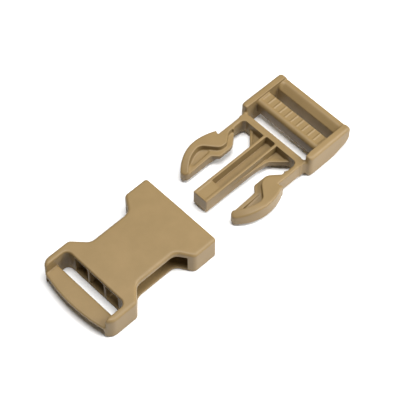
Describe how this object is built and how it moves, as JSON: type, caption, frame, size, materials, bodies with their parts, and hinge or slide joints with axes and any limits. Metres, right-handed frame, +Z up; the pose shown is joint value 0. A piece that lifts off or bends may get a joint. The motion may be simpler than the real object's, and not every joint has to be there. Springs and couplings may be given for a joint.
{
  "type": "side release buckle",
  "caption": "Unfastened side release buckle for flat webbing: hollow socket with a strap loop, and a plug with a centre tongue, barbed spring prongs and a ribbed strap adjuster.",
  "frame": {"origin": "under the middle of the whole unfastened buckle, on the surface it lies on", "axes": "+X from the socket to the plug along the plug's travel, +Z up out of the flat side, +Y across the strap"},
  "size_m": [0.1133, 0.036, 0.0103],
  "materials": {
    "moulded_plastic": "satin moulded acetal, coyote tan"
  },
  "bodies": {
    "socket_half": {"socket": "moulded_plastic"},
    "plug_half": {"plug_frame": "moulded_plastic"},
    "left_arm": {"left_prong": "moulded_plastic"},
    "right_arm": {"right_prong": "moulded_plastic"}
  },
  "joints": [
    {"name": "insert", "type": "slide", "parent": "socket_half", "child": "plug_half", "axis": [-1, 0, 0], "range_m": [0, 0.0427], "deforming": ["left_prong", "right_prong"]},
    {"name": "left_squeeze", "type": "hinge", "parent": "plug_half", "child": "left_arm", "pos_m": [0.03425, 0.01353, 0.0043], "axis": [0, 0, 1], "range_deg": [0, 12], "stiffness_Nm_per_rad": 0.9},
    {"name": "right_squeeze", "type": "hinge", "parent": "plug_half", "child": "right_arm", "pos_m": [0.03425, -0.01353, 0.0043], "axis": [0, 0, -1], "range_deg": [0, 12], "stiffness_Nm_per_rad": 0.9}
  ]
}
